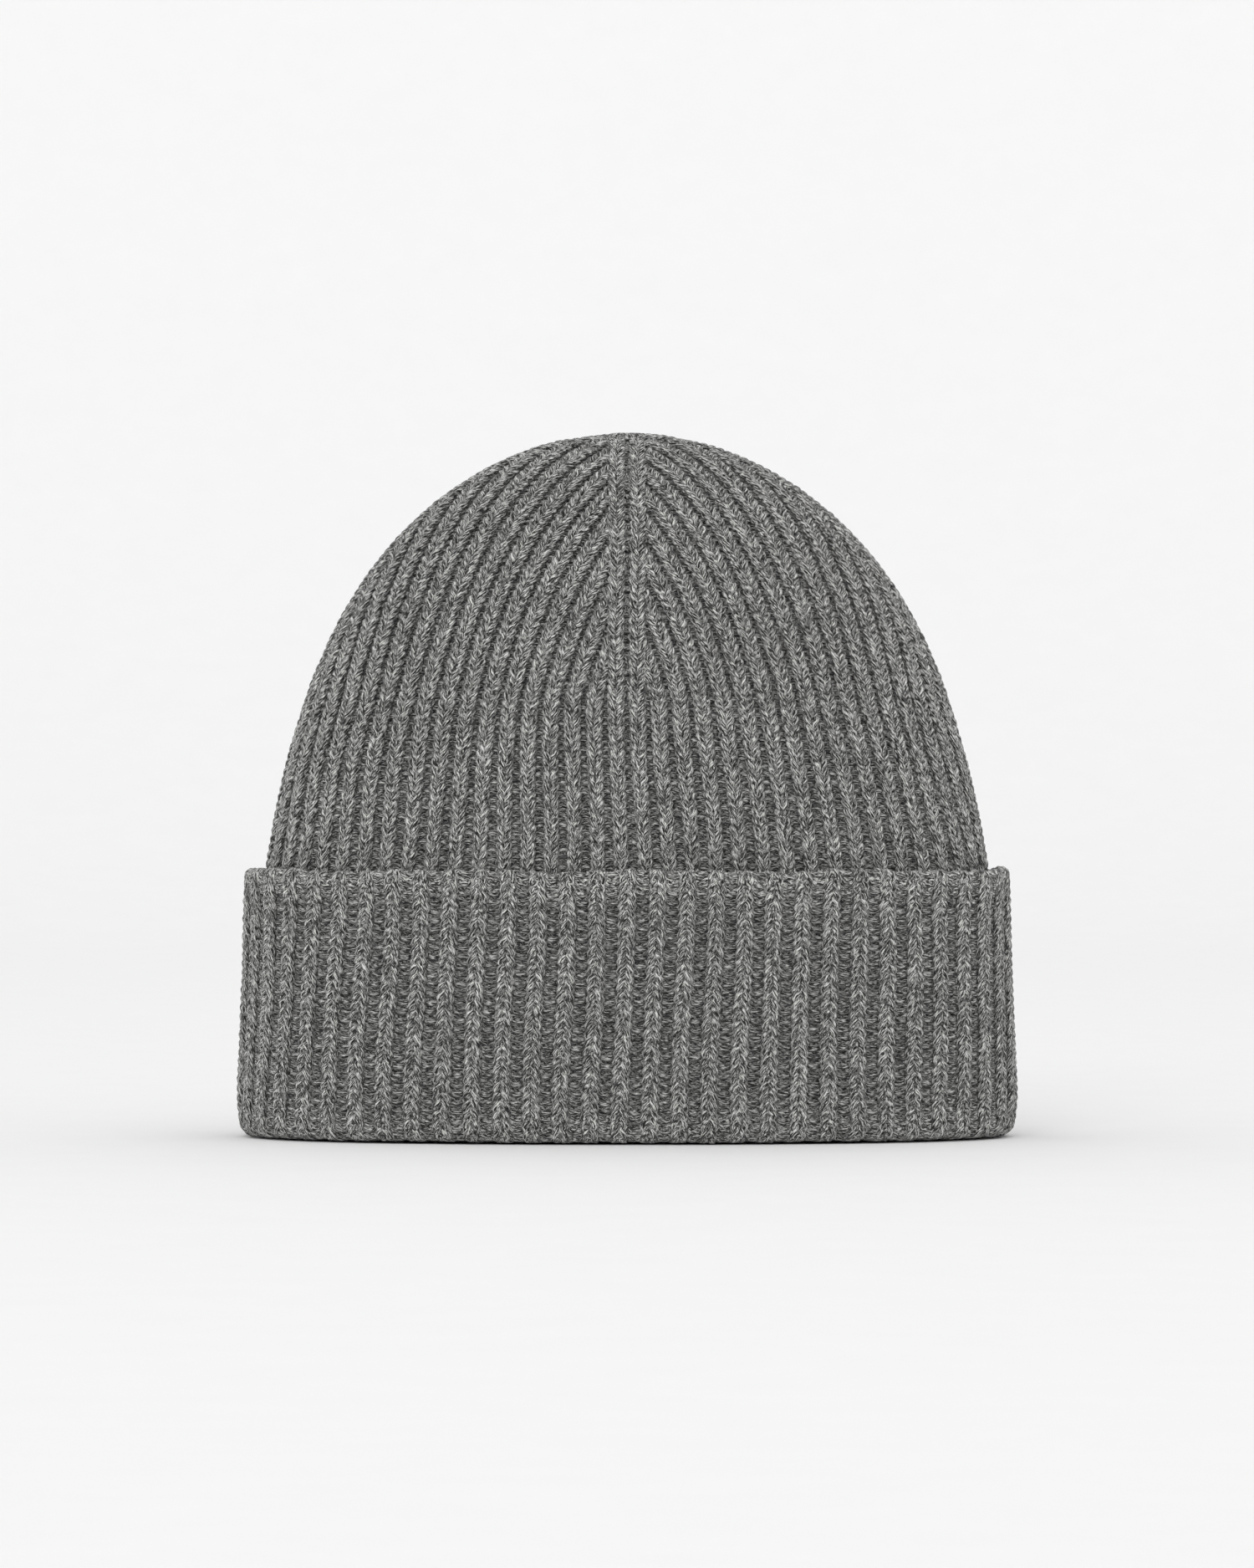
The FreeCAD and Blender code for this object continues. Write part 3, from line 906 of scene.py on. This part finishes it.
def label_stitches(thread):
    """The stitches down the woven label's two ends."""
    half = (label_high.x - label_low.x) / 2
    side = np.array([-1, 1])[:, None]
    spots = np.linspace(*END_STITCH_SPAN, END_STITCHES)[None]
    middle = label_low.z + (label_high.z - label_low.z) * (spots + 0 * side)
    run = np.interp(middle.ravel(), crown.z, crown.run)[:, None]
    reach = np.linspace(-1, 1, 9)[None]
    turn = 2 + (side + 0 * spots).ravel()[:, None] * half / crown.quarter * END_STITCH_PLACE
    depth = END_STITCH_DEPTH + END_STITCH_RISE * (1 - reach ** 2)
    centre, normal = crown.lifted(turn + 0 * reach, run + reach * END_STITCH_REACH, -depth)
    stitches = tube_mesh("label_end_stitches", centre, normal, None, END_STITCH_RADIUS, lead=STITCH_LEAD)
    place_piece(stitches, "crown", "label_thread", thread, "label_stitches")


def care_label(material):
    """A blank satin ribbon folded into a hanging loop, its two ends held in the tab."""
    width = care_high.x - care_low.x
    middle_y = (care_low.y + care_high.y) / 2
    down = np.linspace(tab_high.z, care_low.z + LEAF_GAP, 30)
    turn = np.linspace(0, math.pi, 9)[1:-1]
    leaf = np.full(len(down), LEAF_GAP)
    y = np.concatenate([leaf, LEAF_GAP * np.cos(turn), -leaf])
    z = np.concatenate([down, care_low.z + LEAF_GAP * (1 - np.sin(turn)), down[::-1]])
    x = np.linspace(-width / 2, width / 2, 21)
    hang = np.clip((tab_low.z - z) / (tab_low.z - care_low.z), 0, 1)
    curl = RIBBON_CURL * hang[:, None] * np.cos(math.pi * x / width)[None]
    rows = middle_y + y[:, None] - curl
    grid = np.stack([x[None] + 0 * rows, rows, z[:, None] + 0 * rows], axis=-1)
    normal = unit(np.cross(np.gradient(grid, axis=1), np.gradient(grid, axis=0)))
    ribbon = slab_mesh("care_ribbon", grid, normal, RIBBON_THICKNESS, False)
    ribbon.data.materials.append(material)
    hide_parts("care_label", "care_label_tab")
    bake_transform(ribbon)


# ------------ materials

def new_material(name, roughness, sheen):
    material = bpy.data.materials.new(name)
    material.use_nodes = True
    shader = material.node_tree.nodes["Principled BSDF"]
    shader.inputs["Roughness"].default_value = roughness
    shader.inputs["Sheen Weight"].default_value = sheen
    shader.inputs["Sheen Roughness"].default_value = 0.5
    shader.inputs["Specular IOR Level"].default_value = 0.25
    return material, material.node_tree, shader


def math_node(tree, operation, first, second=None):
    node = tree.nodes.new("ShaderNodeMath")
    node.operation = operation
    for socket, value in zip(node.inputs, (first, second)):
        if isinstance(value, (int, float)):
            socket.default_value = value
        elif value is not None:
            tree.links.new(value, socket)
    return node.outputs[0]


def noise_node(tree, vector, scale, detail, roughness=0.6):
    node = tree.nodes.new("ShaderNodeTexNoise")
    node.inputs["Scale"].default_value = scale
    node.inputs["Detail"].default_value = detail
    node.inputs["Roughness"].default_value = roughness
    tree.links.new(vector, node.inputs["Vector"])
    return node.outputs["Fac"]


def ramp_node(tree, factor, stops, blue=WARMTH):
    node = tree.nodes.new("ShaderNodeValToRGB")
    ramp = node.color_ramp
    while len(ramp.elements) < len(stops):
        ramp.elements.new(0.5)
    for element, (position, grey) in zip(ramp.elements, stops):
        element.position = position
        element.color = (grey, grey, grey * blue, 1)
    tree.links.new(factor, node.inputs["Fac"])
    return node.outputs["Color"]


def fibre_vector(tree):
    """Coordinates that run along the yarn and round it, so that noise becomes spun fibres."""
    uv = tree.nodes.new("ShaderNodeUVMap")
    uv.uv_map = "yarn"
    parts = tree.nodes.new("ShaderNodeSeparateXYZ")
    tree.links.new(uv.outputs["UV"], parts.inputs[0])
    length = parts.outputs[0]
    angle = math_node(tree, "ADD", math_node(tree, "MULTIPLY", parts.outputs[1], FULL_TURN),
                      math_node(tree, "MULTIPLY", length, YARN_TWIST))
    combine = tree.nodes.new("ShaderNodeCombineXYZ")
    tree.links.new(math_node(tree, "MULTIPLY", length, FIBRES_ALONG), combine.inputs[0])
    for operation, socket in (("COSINE", combine.inputs[1]), ("SINE", combine.inputs[2])):
        around = math_node(tree, operation, angle)
        tree.links.new(math_node(tree, "MULTIPLY", around, FIBRES_AROUND), socket)
    return combine.outputs[0], angle


def object_vector(tree):
    return tree.nodes.new("ShaderNodeTexCoord").outputs["Object"]


def scaled_colour(tree, colour, factor):
    node = tree.nodes.new("ShaderNodeVectorMath")
    node.operation = "SCALE"
    tree.links.new(colour, node.inputs[0])
    tree.links.new(factor, node.inputs["Scale"])
    return node.outputs[0]


def bump(tree, shader, height, strength, distance):
    node = tree.nodes.new("ShaderNodeBump")
    node.inputs["Strength"].default_value = strength
    node.inputs["Distance"].default_value = distance
    tree.links.new(height, node.inputs["Height"])
    tree.links.new(node.outputs["Normal"], shader.inputs["Normal"])


def painted_depth_shade(tree):
    """Painted shade and light: darker in the valleys and a little lighter on the raised stitches, whichever
    face is seen.
    """
    node = tree.nodes.new("ShaderNodeAttribute")
    node.attribute_name = "height"
    reach = math_node(tree, "ABSOLUTE", node.outputs["Fac"])
    rise = math_node(tree, "MULTIPLY", reach, PAINTED_DEPTH_CONTRAST / HALF_THICKNESS)
    tone = math_node(tree, "ADD", rise, 1 - PAINTED_DEPTH_CONTRAST / 2)
    return math_node(tree, "MINIMUM", tone, PAINTED_LIGHT_LIMIT)


def yarn_material(name, dark, middle, light):
    """Heathered wool: fine pale and dark fibres spun along the yarn, in two plies, with painted shade and
    light from the yarn's depth in the fabric.
    """
    material, tree, shader = new_material(name, roughness=0.92, sheen=0.25)
    vector, angle = fibre_vector(tree)
    fibres = noise_node(tree, vector, scale=1.0, detail=2.0)
    stops = [(0.437, dark), (0.484, middle), (0.533, middle * 1.6), (0.573, light)]
    colour = ramp_node(tree, fibres, stops)
    patches = noise_node(tree, object_vector(tree), PATCH_SCALE, detail=2.0)
    tone = math_node(tree, "ADD", math_node(tree, "MULTIPLY", patches, PATCH_TONE), 1 - PATCH_TONE / 2)
    # the random patches' tone times the painted shade and light of the yarn's depth
    tone = math_node(tree, "MULTIPLY", tone, painted_depth_shade(tree))
    tree.links.new(scaled_colour(tree, colour, tone), shader.inputs["Base Color"])
    ply_angle = math_node(tree, "MULTIPLY", angle, 2.0)
    plies = math_node(tree, "MULTIPLY", math_node(tree, "COSINE", ply_angle), PLY_RELIEF)
    bump(tree, shader, math_node(tree, "ADD", fibres, plies), strength=0.9, distance=0.35 * MM)
    return material


def core_material():
    """Matted fibres in the same heather as the yarn, made dark as painted shade in the gaps between the
    loops.
    """
    material, tree, shader = new_material("matted_fibres_in_painted_shade", roughness=0.95, sheen=0.1)
    fibres = noise_node(tree, object_vector(tree), scale=1800.0, detail=3.0)
    colour = ramp_node(tree, fibres, [(0.38, 0.03), (0.5, 0.09), (0.62, 0.22)])
    tree.links.new(colour, shader.inputs["Base Color"])
    bump(tree, shader, fibres, strength=0.6, distance=0.2 * MM)
    return material


def woven_material(name, grey, roughness, sheen, threads_per_mm):
    """Fine plain weave for the blank labels and their thread."""
    material, tree, shader = new_material(name, roughness, sheen)
    parts = tree.nodes.new("ShaderNodeSeparateXYZ")
    tree.links.new(object_vector(tree), parts.inputs[0])
    count = FULL_TURN * threads_per_mm / MM
    warp = math_node(tree, "SINE", math_node(tree, "MULTIPLY", parts.outputs[0], count))
    weft = math_node(tree, "SINE", math_node(tree, "MULTIPLY", parts.outputs[2], count))
    weave = math_node(tree, "MULTIPLY", warp, weft)
    slubs = noise_node(tree, object_vector(tree), scale=900.0, detail=2.0)
    mixed = math_node(tree, "ADD", math_node(tree, "MULTIPLY", weave, 0.16), slubs)
    colour = ramp_node(tree, mixed, [(0.2, grey * 0.82), (0.8, grey * 1.12)])
    tree.links.new(colour, shader.inputs["Base Color"])
    bump(tree, shader, weave, strength=0.5, distance=0.06 * MM)
    return material


def paper_material():
    """The pale studio sweep, with a faint tooth."""
    material, tree, shader = new_material("studio_paper", roughness=0.95, sheen=0.0)
    tooth = noise_node(tree, object_vector(tree), scale=40.0, detail=2.0)
    colour = ramp_node(tree, tooth, [(0.3, 0.920), (0.7, 0.930)], blue=1.0)
    tree.links.new(colour, shader.inputs["Base Color"])
    return material


# ------------ camera, light and floor

def camera():
    """Level with the middle of the hat's height, and far enough to see it almost without perspective."""
    data = bpy.data.cameras.new("camera")
    data.lens = LENS
    data.sensor_width = SENSOR
    data.sensor_fit = "HORIZONTAL"
    obj = add_object("camera", data)
    view_width = 2 * cad_box[1].x / HAT_SHARE
    distance = data.lens / data.sensor_width * view_width
    obj.location = (0, -distance, cad_box[1].z / 2)
    obj.rotation_euler = (math.pi / 2, 0, 0)
    bpy.context.scene.camera = obj


def area_light(name, where, size, power):
    data = bpy.data.lights.new(name, "AREA")
    data.shape = "DISK"
    data.size = size
    data.energy = power
    obj = add_object(name, data)
    obj.location = where
    target = Vector((0, 0, APEX / 2))
    obj.rotation_euler = (target - Vector(where)).to_track_quat("-Z", "Y").to_euler()


def world(strength):
    """Even white light from all round, and plain display colours."""
    studio = bpy.data.worlds.new("studio")
    studio.use_nodes = True
    light = studio.node_tree.nodes["Background"].inputs
    light["Color"].default_value = (1, 1, 1, 1)
    light["Strength"].default_value = strength
    bpy.context.scene.world = studio
    bpy.context.scene.view_settings.view_transform = "Standard"


def floor():
    """A round pale floor whose far edge sweeps up, so that no horizon shows."""
    sweep = np.linspace(SWEEP_START, math.pi / 2, FLOOR_RINGS)
    flat = np.linspace(FLOOR_HOLE, FLOOR_RADIUS, FLOOR_RINGS)
    radii = np.concatenate([flat, FLOOR_RADIUS + SWEEP_RADIUS * np.sin(sweep)])[:, None]
    heights = np.concatenate([0 * flat, SWEEP_RADIUS * (1 - np.cos(sweep))])[:, None]
    angle = np.linspace(0, FULL_TURN, FLOOR_SIDES, endpoint=False)
    verts = np.stack([radii * np.cos(angle), radii * np.sin(angle), heights + 0 * angle], axis=-1)
    index = np.arange(len(verts) * FLOOR_SIDES).reshape(-1, FLOOR_SIDES)
    after = np.roll(index, -1, axis=1)
    quads = np.stack([index[:-1], after[:-1], after[1:], index[1:]], axis=-1).reshape(-1, 4)
    outer = build_mesh("floor", verts.reshape(-1, 3), quads[:, ::-1], {})
    disc = bpy.data.meshes.new("floor_middle")
    disc.from_pydata([tuple(v) for v in verts[0]], [], [list(range(FLOOR_SIDES))])
    middle = add_object("floor_middle", disc)
    paper = paper_material()
    outer.data.materials.append(paper)
    middle.data.materials.append(paper)


# ------------ build

wool = yarn_material("heather_wool", dark=0.007, middle=0.084, light=0.64)
seam_wool = yarn_material("seam_wool", dark=0.007, middle=0.078, light=0.52)
# the core's fibres close the gaps between the loops, and their dark colour is painted shade
shaded_felt = core_material()

crown_pieces = knit_crown(wool)
cuff_pieces = knit_cuff(wool)
crown_core_end = crown.length - 3 * MM
crown_core = core("crown_core", crown, soft_wave, BRIDGE_LENGTH, crown_core_end, CROWN_CORE_ROWS)
cuff_core_start = 1 * MM
cuff_core_end = cuff.length - 0.5 * MM
cuff_core = core("cuff_core", cuff, cuff_wave, cuff_core_start, cuff_core_end, CUFF_CORE_ROWS)
place_piece(crown_core, "crown", "crown_knit", shaded_felt, "crown", "inner_band")
place_piece(cuff_core, "cuff", "cuff_knit", shaded_felt, "cuff_layer")
bridge = fabric_bridge(shaded_felt)
declare_fabric(crown, BRIDGE_LENGTH, crown_core_end)
declare_fabric(cuff, cuff_core_start, cuff_core_end)
declare_fabric(crown, 0, BRIDGE_LENGTH)
seams(seam_wool)
gathered_loops(wool)
overhand_knot(seam_wool)
woven_label(woven_material("label_weave", grey=0.10, roughness=0.6, sheen=0.1, threads_per_mm=1.6))
label_stitches(woven_material("label_thread", grey=0.20, roughness=0.5, sheen=0.2, threads_per_mm=2.0))
care_label(woven_material("care_satin", grey=0.72, roughness=0.32, sheen=0.3, threads_per_mm=1.8))

camera()
area_light("key", (-0.9, -5.0, 1.8), size=2.6, power=120)
world(strength=0.90)
floor()
